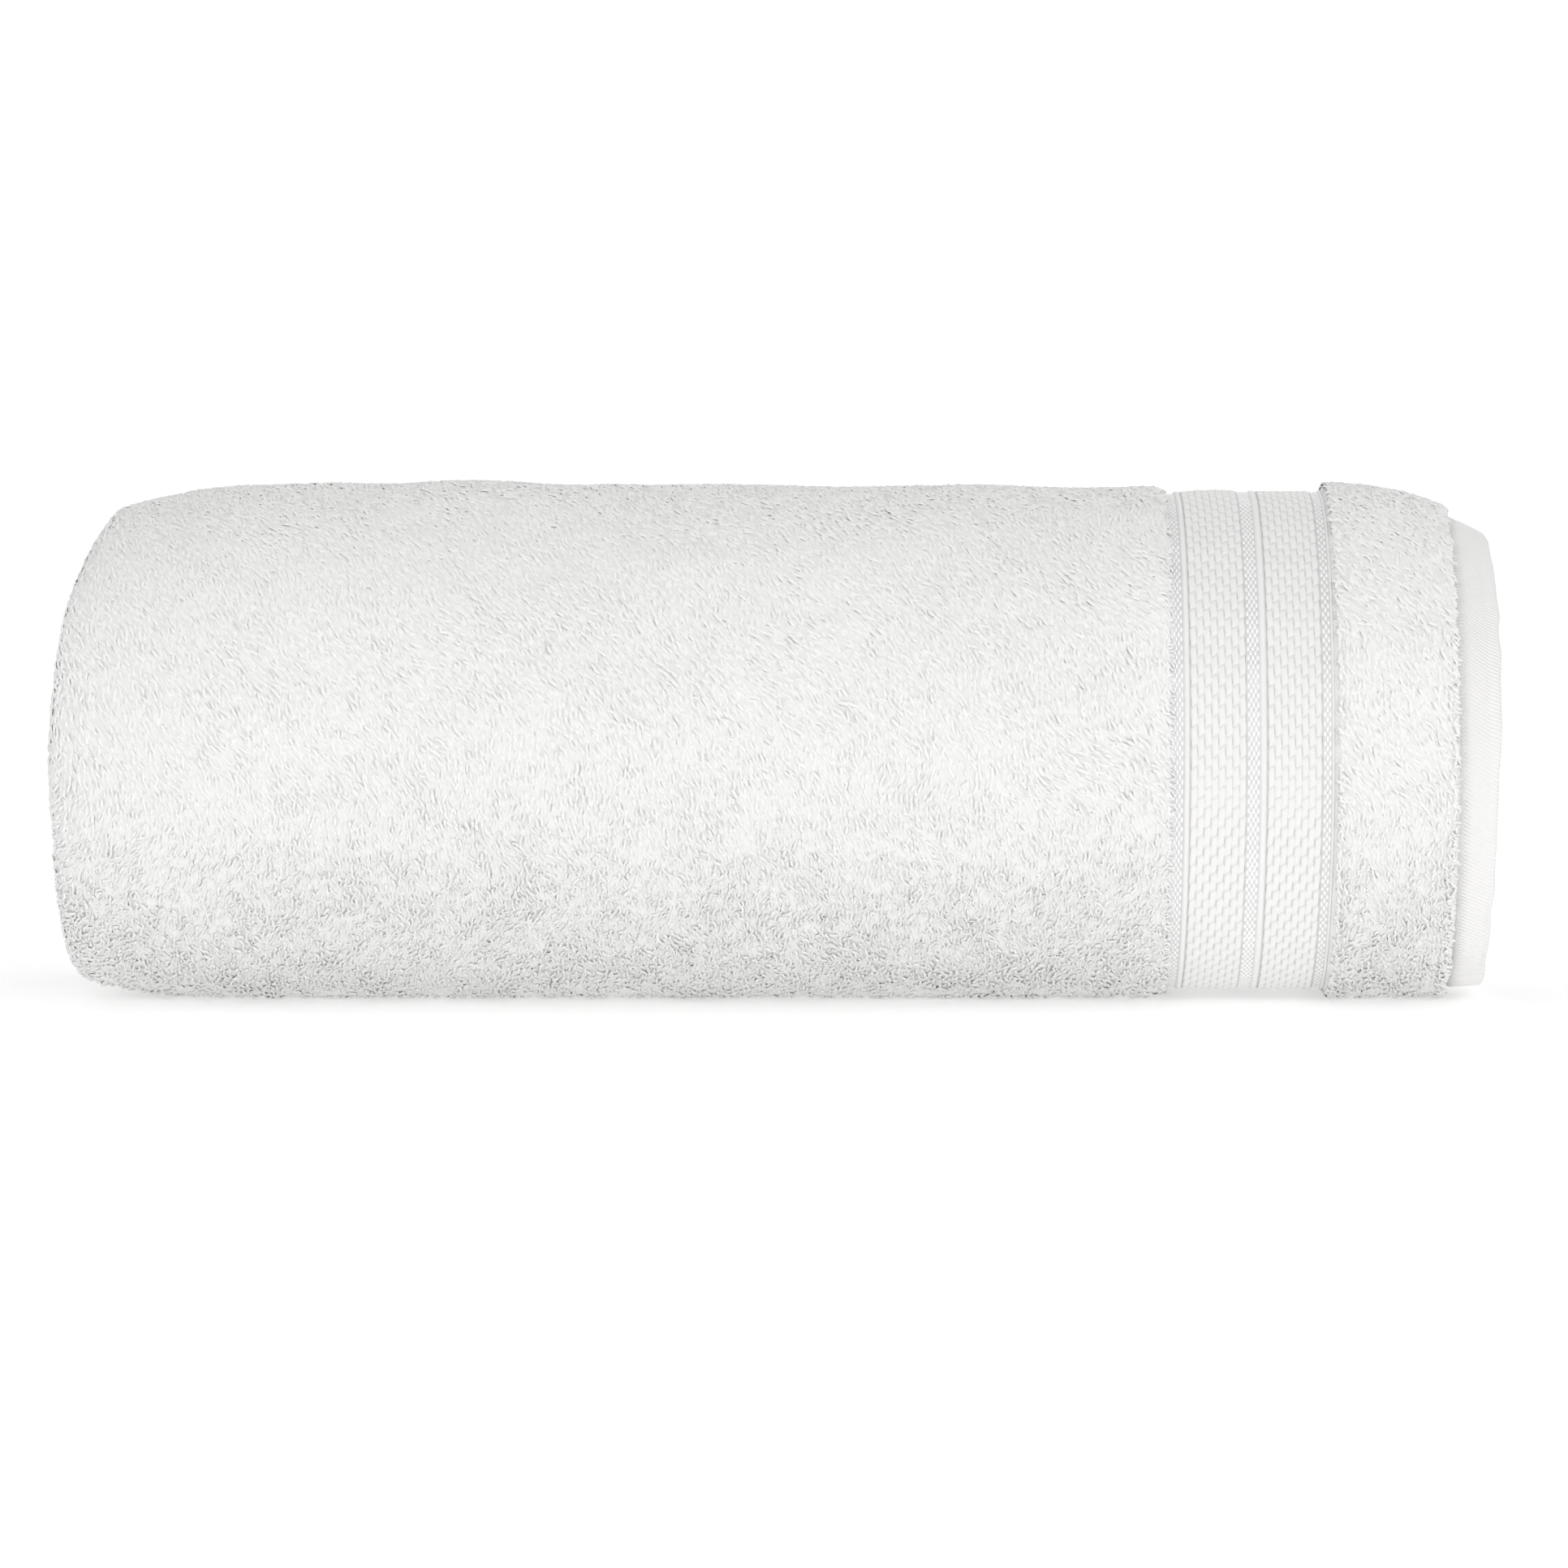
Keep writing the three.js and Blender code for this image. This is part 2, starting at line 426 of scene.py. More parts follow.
cotton = {  # each white, and its shade where it has one
    "pile": ((0.945, 0.942, 0.933), (0.905, 0.904, 0.902)),
    # darker than the pile: painted shade of the deep places between loops
    "shadedGround": ((0.885, 0.882, 0.875), (0.84, 0.839, 0.835)),
    "weave": ((0.855, 0.852, 0.842), (0.825, 0.822, 0.813)),
    "hem": ((0.92, 0.915, 0.9), (0.89, 0.884, 0.872)),
    # gap: a dark white that stands for the shade in the weave's gaps, painted shade
    "gap": ((0.68, 0.676, 0.666), None),
    "satin": ((0.94, 0.94, 0.94), (0.915, 0.915, 0.92)),
    # darker than the satin's floats: painted shade of the gaps between them
    "shadedSatinGround": ((0.68, 0.68, 0.68), None),
}
clothSheen = {"Sheen Weight": 0.04, "Sheen Roughness": 0.6}


def makeFinish(name, white, roughness, specular, relief, tint=None, metallic=0.0):
    # tint: scale and amount; relief: from the coarsest group to the finest, values and depth
    material, tree, shader = newMaterial(name, {
        "Roughness": roughness, "Specular IOR Level": specular, "Metallic": metallic, **clothSheen,
    })
    colour, shade = cotton[white]
    base = (*colour, 1)
    if tint:
        values = {"Colour": base, "Shade": (*shade, 1), "Scale": tint[0], "Amount": tint[1]}
        base = addGroup(tree, "tint", values).outputs["Colour"]
    under = {}
    for key, values, depth in relief:
        node = addGroup(tree, key, values)
        if key == "floats":
            # the gaps between floats take the gap white: painted shade
            setInputs(tree, node, {"Colour": base, "Gap Shade Colour": (*cotton["gap"][0], 1)})
            base = node.outputs["Colour"]
        heights = {"Height": node.outputs["Height"], "Distance": depth * mm, "Strength": 1}
        bump = addNode(tree, "Bump", {**heights, **under})
        under = {"Normal": bump.outputs["Normal"]}  # each bump lies on the one before
    setInputs(tree, shader, {"Base Color": base, **under})
    return material


def makeFloor():
    material, tree, shader = newMaterial("paleFloor", {
        "Roughness": 0.9, "Specular IOR Level": 0.1, "Emission Color": (1, 1, 1, 1),
    })
    pale = studio["floorColour"]
    patchy = [c * studio["floorPatches"] for c in pale]
    noise = addNode(tree, "TexNoise", {"Scale": 3})
    seen = addNode(tree, "LightPath", {}).outputs["Is Camera Ray"]
    setInputs(tree, shader, {
        "Base Color": addMix(tree, noise.outputs["Fac"], (*pale, 1), (*patchy, 1)),
        "Emission Strength": addMath(
            tree, "MULTIPLY_ADD", seen, studio["floorGlow"], studio["floorBounce"]
        ),
    })
    return material


finishes = {
    "loops": makeFinish(
        "terryLoops", "pile", roughness=0.95, specular=0.15, tint=(3.5, 0.6),
        relief=[
            ("packed", {"Size": (85.0, 45.0, 1.0), "Uneven": 0.3}, 0.14),
            ("fuzz", {"Scale": 120.0}, 0.1),
        ],
    ),
    # what lies between the loops: more loops, too small and deep to see one by one, in a darker
    # white that is painted shade
    "shadedGround": makeFinish(
        "shadedTerryGround", "shadedGround", roughness=1.0, specular=0.1, tint=(3.5, 0.6),
        relief=[
            ("packed", {"Size": (42.0, 20.0, 1.0), "Uneven": 0.3}, 0.42),
            ("packed", {"Size": (90.0, 36.0, 1.0), "Uneven": 0.5}, 0.3),
            ("fuzz", {"Scale": 120.0}, 0.15),
        ],
    ),
    "flat": makeFinish(
        "flatWeave", "hem", roughness=0.8, specular=0.25, tint=(5.0, 0.4),
        relief=[
            ("lines", {"Across": -40.0, "Around": 72.0}, 0.26),
            ("fuzz", {"Scale": 160.0}, 0.06),
        ],
    ),
    # the cloth under the twill shows only in its gaps, so it wears the gap white: painted shade
    "shadedTwillGround": makeFinish(
        "shadedTwillGround", "gap", roughness=0.85, specular=0.2,
        relief=[("fuzz", {"Scale": 120.0}, 0.1)],
    ),
    # the cloth between the satin floats, its grey a painted shade
    "shadedSatinGround": makeFinish(
        "shadedSatinGround", "shadedSatinGround", roughness=0.45, specular=0.5, metallic=0.2,
        relief=[("fuzz", {"Scale": 120.0}, 0.1)],
    ),
    "floats": makeFinish(
        "twillFloatsGapShade", "weave", roughness=0.5, specular=0.5, tint=(6.0, 0.35),
        relief=[
            ("floats", {"Gap Shade Share": 0.34}, 0.28),
            ("fuzz", {"Scale": 90.0, "Stretch": (3.0, 0.4, 1.0)}, 0.08),
        ],
    ),
    "satin": makeFinish(
        "satinFloats", "satin", roughness=0.35, specular=0.5, metallic=0.3, tint=(6.0, 0.35),
        relief=[("fuzz", {"Scale": 60.0, "Stretch": (3.0, 0.4, 1.0)}, 0.05)],
    ),
    "rib": makeFinish(
        "ribYarn", "weave", roughness=0.55, specular=0.35, tint=(5.0, 0.3),
        relief=[("fuzz", {"Scale": 140.0, "Stretch": (1.0, 0.4, 1.0)}, 0.06)],
    ),
}
print("materials:", ", ".join(sorted(m.name for m in finishes.values())))

nap = {  # how the pile lies: brushed aslant over the top, with a little swirl everywhere
    "brushed": 0.62,  # lean over the top of the roll, in radians
    "brushedOver": (0.72, 0.9),  # level and rate of the rise to the top
    "leanOver": (0.3, 0.9),
    "swirls": [(7.0, 60.0, 30.0, 21), (1.6, 17.0, 11.0, 22)],  # reach, widths, seed
    "drift": (2.0, 30, 25),  # reach, width, seed
}
napTable = {}


def brushedShare(angle):
    return overTop(angle, *nap["brushedOver"])


def readNap(around, angle):
    # how far a stroke of the pile wanders sideways on its way round
    slope = np.tan(nap["brushed"] * overTop(angle, *nap["leanOver"]))
    steps = np.diff(around) * (slope[1:] + slope[:-1]) / 2
    napTable["around"], napTable["wander"] = around, runningLength(steps)


def strokePlace(u, v):
    # the cloth's flat place, drawn so that strokes of the pile run straight up
    across = u - np.interp(v, napTable["around"], napTable["wander"])
    for reach, wide, high, seed in nap["swirls"]:
        across = across + reach * unevenness(u / wide, v / high, seed)
    reach, wide, seed = nap["drift"]
    return across, v + reach * unevenness(u / wide, v / wide, seed)


def napTurn(u, v):
    # the direction of the strokes, from round the roll towards the folded end
    step, leastSlope = 0.5, 0.2
    across = strokePlace(u, v)[0]
    byU = (strokePlace(u + step, v)[0] - across) / step
    byV = (strokePlace(u, v + step)[0] - across) / step
    return np.arctan2(-byV, np.maximum(byU, leastSlope))


clothUnit = 0.01  # the maps of the cloth count in decimetres
bakeMargin = 0.01


def leanNormals(mesh, towards, share):
    # loops of soft yarn let light through, so they are shaded partly like the cloth they stand on
    own = np.empty(len(mesh.vertices) * 3, np.float32)
    mesh.vertex_normals.foreach_get("vector", own)
    leaned = unit(own.reshape(-1, 3) * (1 - share)[:, None] + towards * share[:, None])
    layer = mesh.attributes.new("custom_normal", "FLOAT_VECTOR", "POINT")
    layer.data.foreach_set("vector", leaned.astype(np.float32).ravel())


def makePiece(name, points, faces, clothPlace, worn, faceFinish=None, lean=None, weave=None):
    # a smooth mesh from arrays; clothPlace is where each point lies on the flat cloth
    mesh = bpy.data.meshes.new(name)
    count, corners = faces.shape
    mesh.vertices.add(len(points))
    mesh.vertices.foreach_set("co", (points * mm).astype(np.float32).ravel())
    mesh.loops.add(count * corners)
    mesh.loops.foreach_set("vertex_index", faces.astype(np.int32).ravel())
    mesh.polygons.add(count)
    mesh.polygons.foreach_set("loop_start", np.arange(count, dtype=np.int32) * corners)
    mesh.polygons.foreach_set("loop_total", np.full(count, corners, np.int32))
    mesh.polygons.foreach_set("use_smooth", np.ones(count, bool))
    if faceFinish is not None:
        mesh.polygons.foreach_set("material_index", faceFinish.astype(np.int32))

    def addMap(label, places):
        layer = mesh.uv_layers.new(name=label)
        layer.data.foreach_set("uv", places.astype(np.float32).ravel())

    perCorner = clothPlace[faces.ravel()]
    addMap("cloth", perCorner * clothUnit)
    addMap("strokes", np.stack(strokePlace(*perCorner.T), axis=-1) * clothUnit)
    if weave is not None:
        # where a point lies in the weave, and which way the steps between its floats run, which
        # sets the corners where painted shade falls in the gaps
        addMap("weave", weave[faces.ravel(), :2])
        addMap("steps", weave[faces.ravel(), 2:])
    low, high = perCorner.min(0), perCorner.max(0)
    spread = (perCorner - low) / (high - low).max()
    addMap("OFBake", spread * (1 - 2 * bakeMargin) + bakeMargin)
    for key in worn:
        mesh.materials.append(finishes[key])
    mesh.update(calc_edges=True)
    if lean is not None:
        leanNormals(mesh, *lean)
    piece = addObject(name, mesh)
    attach(piece, "root")
    return piece


def gridFaces(rows, columns, first=0):
    index = first + np.arange(rows * columns).reshape(rows, columns)
    corners = [index[:-1, :-1], index[:-1, 1:], index[1:, 1:], index[1:, :-1]]
    return np.stack(corners, axis=-1).reshape(-1, 4)


cloth = {
    "sideHem": 1.2,  # the side hem's height from the middle of the cloth
    "sideHemWidth": 9.0,
    "sideHemStep": 0.7,
    "edgeRounding": 0.45,  # share of the height that is left at an edge
    "edgeWidth": 0.9,
    "grooveDepth": 12.0,
    "rimRetreat": 5.0,
    "moreAtTop": 4.2,
    "moreAboveAndBelow": 12.6,
    "rimTaper": 1.3,
    "moreTaperAtTop": 0.55,
    "wobble": 1.6,
    "innerTurnsRetreat": 6.0,
    "hemUneven": 0.9,
    "hemWaver": (0.5, 9, 27),  # height, width, seed
    "restHeight": 3.15,
    "floorClear": 0.12,
    "layerEnds": [142.3, 143.3, 144.3, 145.0],  # the tail's steps, from the outer layer in
    "outerRowsPerTurn": 132,
    "hiddenRowsPerTurn": 40,
    "tailRows": (0.94, 0.0016),  # a share of the side hem, and turns before the tail's end
    "ripples": [(0.4, 42, 30, 11), (0.35, 17, 21, 12), (0.3, 10, 12, 13)],  # height, widths, seed
    "ripplesInside": 0.45,
    "easing": (6, 5),  # passes and reach, where the outer layer turns into the fold
    "measuredAt": (-40, 30),  # the row and column that the flat cloth is measured along
}
faceOffsets = {  # how far the outer and the inner face stand from the middle of the cloth
    "pile": (2.45, 2.45), "short pile": (2.45, 2.45), "long pile": (2.45, 2.45),
    "big fold": (2.45, 2.45), "last fold": (2.45, 2.45), "shoulder foot": (1.15, 2.45),
    "shoulder": (1.95, 2.45), "shoulder top": (2.3, 2.45),
    "rib": (-0.3, 1.9), "satin": (-0.3, 1.9), "twill": (-0.3, 1.9),
    "hem": (0.15, 1.9), "seam": (-1.6, 1.9), "second hem": (1.25, 1.25),
}
outerStretches = {  # of the outer layer: from, to, spacing
    "hem": (222.4, 212.0, 2.6),
    "short pile": (209.4, 173.5, 5.0),
    "long pile": (114.0, -158.0, 4.7),
}
borderBands = [  # each band, and where it ends on the way from the hem to the folded end
    ("rib", 171.9), ("rib", 171.2), ("satin", 168.5),
    ("twill", 162.7), ("twill", 157.0), ("twill", 151.2), ("rib", 149.2), ("satin", 145.3),
    ("twill", 139.4), ("twill", 133.6), ("twill", 127.7), ("rib", 125.9), ("satin", 123.2),
]
pileShoulder = [("shoulder foot", roll["pileEnd"]), ("shoulder", 120.2), ("shoulder top", 117.6)]
# the layers' middles as shares of the way out across the bundle, and its folds in the same
# shares: middle, half width, points, then millimetres: inset from the end and depth
layerShares = (0.875, 0.625, 0.375, 0.125)
bigFold = {"middle": 0.5, "half": 0.375, "points": 19, "inset": 3.0}
smallFold = {"middle": 0.5, "half": 0.125, "points": 9, "inset": 11.0, "depth": 3.2}
lastFold = {"middle": 0.25, "half": 0.125, "points": 11, "inset": 4.6, "depth": 3.2}

sideHemTurns = cloth["sideHemWidth"] / (outerRadius * fullTurn)


def foldRetreat(radius, angle):
    rim = (radius / outerRadius) ** 3
    up = np.sin(angle)
    drop = cloth["rimRetreat"] + cloth["moreAtTop"] * up + cloth["moreAboveAndBelow"] * up ** 4
    wobble = cloth["wobble"] * (1 + np.sin(3 * angle + radius / thickness))
    return drop * rim + wobble * (1 - rim / 2)


def hemEdge(radius, angle):
    retreat = cloth["innerTurnsRetreat"] * (1 - radius / outerRadius)
    uneven = cloth["hemUneven"] * (1 - np.sin(2 * angle + radius / thickness))
    height, width, seed = cloth["hemWaver"]
    uneven = uneven + height * unevenness(angle * outerRadius / width, radius / thickness, seed)
    return roll["length"] / 2 - retreat - uneven


def windingAt(turns):
    # what the path needs to know at each turn of the bundle
    angle = angleAt(turns)
    inside, outside = spiralRadius(turns), spiralRadius(turns + 1)
    middle = (inside + outside) / 2
    out = smooth((turns + 1 - bundleTurns) * roll["stepsPerTurn"] / roll["layers"])
    crown = -roll["length"] / 2 + foldRetreat(middle, angle)
    return SimpleNamespace(
        turns=turns, angle=angle, inside=inside, outside=outside, middle=middle,
        crown=crown, edge=hemEdge(middle, angle), out=out,
        outerDepth=blend(cloth["grooveDepth"], roll["foldStart"] - crown, out),
    )


def station(kind, share, along):
    # a point of the path: its kind of cloth, its layer, and where it lies for a winding
    return SimpleNamespace(kind=kind, share=share, along=along)


def edgeStation(kind, share, gap):
    return station(kind, share, lambda w: w.edge - gap)


def fixedStation(kind, place):
    return station(kind, layerShares[0], lambda w: place)


def fixedRun(kind):
    start, end, spacing = outerStretches[kind]
    count = max(2, int(round(abs(end - start) / spacing)) + 1)
    return [fixedStation(kind, place) for place in np.linspace(start, end, count)]


def looseRun(kinds, share, ways, startGap, endGap):
    # between a fold's inside and the hemmed end, at shares of the way
    def at(way):
        return lambda w: blend(w.crown + startGap, w.edge - endGap, way)

    return [station(kind, share, at(way)) for kind, way in zip(kinds, ways)]


def foldShare(fold, turn):
    return fold["middle"] - fold["half"] * math.cos(turn)


def foldStation(kind, fold, turn, depths):
    # a fold's point, from the inner side (turn 0) to the outer side (turn pi)
    def along(w):
        inner, outer = depths(w)
        crown = w.crown + fold["inset"]
        if turn < math.pi / 2:
            return crown + inner * (1 - math.sin(turn))
        taper = cloth["rimTaper"] + cloth["moreTaperAtTop"] * np.maximum(0, np.sin(w.angle))
        return crown + outer * (1 - math.sin(turn) ** blend(1, taper, w.out))

    return station(kind, foldShare(fold, turn), along)


def clothPath():
    # from the first hem over the outer face and round three folds to the second hem
    top, third, second, inner = layerShares
    groove, pileGap, hemGap = cloth["grooveDepth"], 8, 2
    bigDepths = lambda w: (groove - bigFold["inset"], w.outerDepth - bigFold["inset"])
    smallDepths = lambda w: (smallFold["depth"], smallFold["depth"])
    smallEnd = smallFold["inset"] + smallFold["depth"]
    ways = [0.05, 0.4, 0.8, 0.97]
    hemWays = [0.1, 0.5, 0.955, 0.965, 0.985]
    path = [edgeStation("hem", top, 0), edgeStation("hem", top, 0.8)]
    path += fixedRun("hem")[1:] + [fixedStation("seam", 210.9)] + fixedRun("short pile")
    path += [fixedStation(*band) for band in borderBands + pileShoulder]
    path += fixedRun("long pile")
    for turn in np.linspace(math.pi, 0, bigFold["points"]):
        path.append(foldStation("big fold", bigFold, turn, bigDepths))
    path += looseRun(["pile"] * 4, inner, ways, groove, pileGap)
    for turn in np.linspace(0, math.pi, lastFold["points"]):
        gap = lastFold["inset"] + lastFold["depth"] * (1 - math.sin(turn))
        path.append(edgeStation("last fold", foldShare(lastFold, turn), gap))
    path += looseRun(["pile"] * 4, second, ways[::-1], smallEnd, pileGap)
    for turn in np.linspace(0, math.pi, smallFold["points"]):
        path.append(foldStation("pile", smallFold, turn, smallDepths))
    path += looseRun(["pile"] * 3 + ["second hem"] * 2, third, hemWays, smallEnd, hemGap)
    return path + [edgeStation("second hem", third, 2.6), edgeStation("second hem", third, 1.8)]


def layerEndAt(share):
    # the last turn of the cloth at a place across the bundle
    outward = [-s for s in layerShares]
    return np.interp(-share, outward, cloth["layerEnds"]) / roll["stepsPerTurn"]


def rowShares():
    # rows of points round the roll: sparse where the turns are hidden, close on the outer face
    hidden = bundleTurns - 1
    inner = np.linspace(0, hidden, int(hidden * cloth["hiddenRowsPerTurn"]), endpoint=False)
    outer = np.linspace(hidden, bundleTurns, cloth["outerRowsPerTurn"] + 1)
    hemShare, lastRow = cloth["tailRows"]
    tail = bundleTurns - np.array([sideHemTurns, sideHemTurns * hemShare, lastRow])
    return np.unique(np.round(np.concatenate([inner, outer, tail]), 6)) / bundleTurns


def windCloth():
    # the middle of the cloth, its two faces and its place when flat, all as grids
    path, rows = clothPath(), rowShares()
    middle, outward, inward, sideways = [], [], [], []
    for s in path:
        layerEnd = layerEndAt(s.share)
        w = windingAt(rows * layerEnd)
        along = s.along(w) + 0 * w.turns
        arc = w.turns * fullTurn * w.middle
        outerLayer = smooth((s.share - 0.5) * 4) * w.out
        radius = blend(w.inside, w.outside, s.share) + outerLayer * lumpAt(w.angle, along)
        calm = smooth(fromBottom(w.angle) * 2 - 0.4)
        ripple = sum(
            height * unevenness(along / wide, arc / high, seed)
            for height, wide, high, seed in cloth["ripples"]
        )
        radius = radius + ripple * calm * blend(cloth["ripplesInside"], 1, w.out)
        middle.append(place(radius, w.angle, along))
        out, back = faceOffsets[s.kind]
        fromTail = (layerEnd - w.turns) * fullTurn * outerRadius
        fromStart = w.turns * fullTurn * thickness * s.share
        pastHem = np.minimum(fromTail, fromStart) - cloth["sideHemWidth"]
        atSide = 1 - smooth(pastHem + cloth["sideHemStep"])
        fromEdge = np.minimum(fromTail, fromStart + 1)
        rounding = blend(cloth["edgeRounding"], 1, smooth(fromEdge / cloth["edgeWidth"]))
        outward.append(blend(out, np.minimum(out, cloth["sideHem"]), atSide) * rounding)
        inward.append(blend(back, cloth["sideHem"], atSide) * rounding)
        sideways.append(atSide)
    middle, side = np.stack(middle, axis=1), np.stack(sideways, axis=1)
    start = next(i for i, s in enumerate(path) if s.kind == "big fold")
    passes, reach = cloth["easing"]
    low, high = start - reach, start + reach + 1
    for _ in range(passes):
        before, after = middle[:, low - 1:high - 1], middle[:, low + 1:high + 1]
        middle[:, low:high] = middle[:, low:high] / 2 + before / 4 + after / 4
    middle[..., 2] = np.maximum(middle[..., 2], cloth["restHeight"])
    normal = unit(np.cross(np.gradient(middle, axis=0), np.gradient(middle, axis=1)))
    outward, inward = np.stack(outward, axis=1), np.stack(inward, axis=1)
    for offsets in (outward, inward):
        offsets[:, [0, -1]] *= cloth["edgeRounding"]
    row, column = cloth["measuredAt"]
    measured = lambda line: runningLength(np.linalg.norm(np.diff(line, axis=0), axis=1))
    acrossCloth, aroundCloth = measured(middle[row]), measured(middle[:, column])
    readNap(aroundCloth, angleAt(rows * bundleTurns))
    return SimpleNamespace(
        path=path, rows=rows, normal=normal, side=side,
        outer=middle + normal * outward[..., None], inner=middle - normal * inward[..., None],
        flat=np.stack(np.meshgrid(acrossCloth, aroundCloth), axis=-1),
    )


clothFinishes = ["shadedGround", "flat", "shadedTwillGround", "shadedSatinGround"]
wornBy = {"hem": 1, "second hem": 1, "seam": 1, "rib": 1, "twill": 2, "satin": 3}  # the rest is 0


def makeCloth(wound):
    rows, columns = wound.outer.shape[:2]
    count = rows * columns
    outFaces = gridFaces(rows, columns)[:, ::-1]
    inFaces = gridFaces(rows, columns, count)
    index = np.arange(count).reshape(rows, columns)
    rims = []
    for line, turned in ((index[0], 0), (index[-1], 1), (index[:, 0], 1), (index[:, -1], 0)):
        quads = np.stack([line[:-1], line[:-1] + count, line[1:] + count, line[1:]], axis=-1)
        rims.append(quads if turned else quads[:, ::-1])
    faces = np.concatenate([outFaces, inFaces, *rims])
    points = np.concatenate([wound.outer.reshape(-1, 3), wound.inner.reshape(-1, 3)])
    flat = wound.flat.reshape(-1, 2)
    below = flat + np.array([0, wound.flat[..., 1].max() + 20])  # the back's place on the maps
    kinds = np.array([wornBy.get(s.kind, 0) for s in wound.path])
    bandOf = np.where(kinds[:-1] * kinds[1:] > 0, kinds[1:], 0)
    cellFinish = np.where(wound.side[:-1, :-1] > 0.5, 1, bandOf[None, :]).ravel()
    backFinish = np.minimum(cellFinish, 1)
    rimFinish = np.ones(sum(len(r) for r in rims), int)
    return makePiece(
        "wound_cloth", points, faces, np.concatenate([flat, below]), clothFinishes,
        np.concatenate([cellFinish, backFinish, rimFinish]),
    )


wound = windCloth()
sheetPiece = makeCloth(wound)
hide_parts("bath_sheet")
print("cloth: wound,", len(sheetPiece.data.polygons) * 2, "triangles")


def pathSpan(*kinds):
    found = [i for i, s in enumerate(wound.path) if s.kind in kinds]
    return found[0], found[-1]


def surfacePatch(rowSpan, columnSpan):
    # a stretch of the outer face, measured along and around, for what stands on it
    cut = slice(rowSpan[0], rowSpan[1] + 1), slice(columnSpan[0], columnSpan[1] + 1)
    points = wound.outer[cut]
    steps = lambda axis: np.linalg.norm(np.diff(points, axis=axis), axis=2).mean(axis=1 - axis)
    return SimpleNamespace(
        points=points, normal=wound.normal[cut], flat=wound.flat[cut],
        alongAt=runningLength(steps(1)), aroundAt=runningLength(steps(0)),
    )


def onPatch(patch, along, around):
    # points, directions and flat places, for lengths along and around
    column = np.interp(along, patch.alongAt, np.arange(len(patch.alongAt)))
    row = np.interp(around, patch.aroundAt, np.arange(len(patch.aroundAt)))
    c = np.clip(np.floor(column).astype(int), 0, patch.points.shape[1] - 2)
    r = np.clip(np.floor(row).astype(int), 0, patch.points.shape[0] - 2)
    fc, fr = (column - c)[..., None], (row - r)[..., None]

    def mixed(grid):
        top = blend(grid[r, c], grid[r, c + 1], fc)
        return blend(top, blend(grid[r + 1, c], grid[r + 1, c + 1], fc), fr)

    normal = unit(mixed(patch.normal))
    steps = np.diff(patch.points, axis=1)
    alongWay = blend(steps[r, c], steps[r + 1, c], fr)
    alongWay = unit(alongWay - normal * (alongWay * normal).sum(-1, keepdims=True))
    axes = np.stack([alongWay, np.cross(alongWay, normal), normal], axis=1)
    return SimpleNamespace(
        point=mixed(patch.points), normal=normal, axes=axes, flat=mixed(patch.flat)
    )


def plant(name, patch, along, around, local, faces, finish, soft):
    # copies of one small closed form, each standing at its own place on the cloth;
    # local holds every copy's corners as lengths along, around and above the cloth
    spot = onPatch(patch, along, around)
    corners = spot.point[:, None] + np.einsum("nci,nij->ncj", local, spot.axes)
    corners[..., 2] = np.maximum(corners[..., 2], cloth["floorClear"])
    count, size = local.shape[:2]
    allFaces = (faces[None] + size * np.arange(count)[:, None, None]).reshape(-1, faces.shape[1])
    flat = (spot.flat[:, None] + local[..., :2]).reshape(-1, 2)
    lean = (np.repeat(spot.normal, size, axis=0), np.repeat(soft, size))
    return makePiece(name, corners.reshape(-1, 3), allFaces, flat, [finish], lean=lean)


def angleOfPoint(point):
    return np.arctan2(point[:, 2] - centreHeight, point[:, 1] - centreAcross)


def halfDrop(columns, rows, pitch):
    # places in columns, every second column half a pitch further round
    along, around = np.meshgrid(columns, rows)
    return along, around + pitch / 2 * (np.arange(len(columns)) % 2)[None, :]


pile = {  # short loops of yarn, each standing on the cloth and bent over
    "alongSpacing": 1.68,
    "aroundSpacing": 2.2,
    "scatter": (0.26, 0.28),  # along and around, as shares of the spacing
    # size, then its share low on the roll and over the top, then its spread
    "length": (3.6, (0.8, 1.08), (0.7, 1.25)),
    "wide": (0.56, (1.0, 1.1), (0.85, 1.15)),
    "high": (0.4, (1.25, 0.85), (0.9, 1.1)),
    "rise": (0.62, (1.4, 0.8)),
    "riseScatter": (0.1, 0.4),  # and its share where the pile is calm
    "proud": (0.3, 0.06),  # how much higher some loops stand, and their share
    "clumps": (5.5, 7.5, 23),  # widths, seed
    "clumpHeight": (0.15, 0.08),  # low on the roll and over the top, as the next three
    "turnScatter": (0.34, 0.24),
    "turnDrift": (0.5, 0.12),
    "curl": (0.9, 0.4),
    "drift": (6.5, 8, 28),  # widths, seed
    "swing": 0.5,
    "slope": 0.12,
    "rootDepth": 0.7,
    "sparseBelow": 0.6,  # share of the loops left out where the roll rests
    "restsFrom": (0.86, 0.1),
    "calmOver": (-1.0, 2.2),  # level and rate of the rise to the top, where loops lie close
    # share of the cloth's own direction in how loops catch the light
    "softAbove": 0.45,
    "softBelow": 0.08,
    "softOnTop": 0.66,
    "brushedWays": (-0.27, 0.27),  # where the rings of yarn stand along a loop
    "curledWays": (-0.34, 0.0, 0.34),
}


def loopLattice(patch, rng):
    alongStep, aroundStep = pile["alongSpacing"], pile["aroundSpacing"]
    columns = np.arange(alongStep / 2, patch.alongAt[-1], alongStep)
    rows = np.arange(aroundStep / 2, patch.aroundAt[-1], aroundStep)
    along, around = halfDrop(columns, rows, aroundStep)
    along = along + rng.normal(0, pile["scatter"][0], along.shape) * alongStep
    around = around + rng.normal(0, pile["scatter"][1], along.shape) * aroundStep
    inside = (along > 0) & (along < patch.alongAt[-1])
    inside &= (around > 0) & (around < patch.aroundAt[-1])
    return along[inside], around[inside]


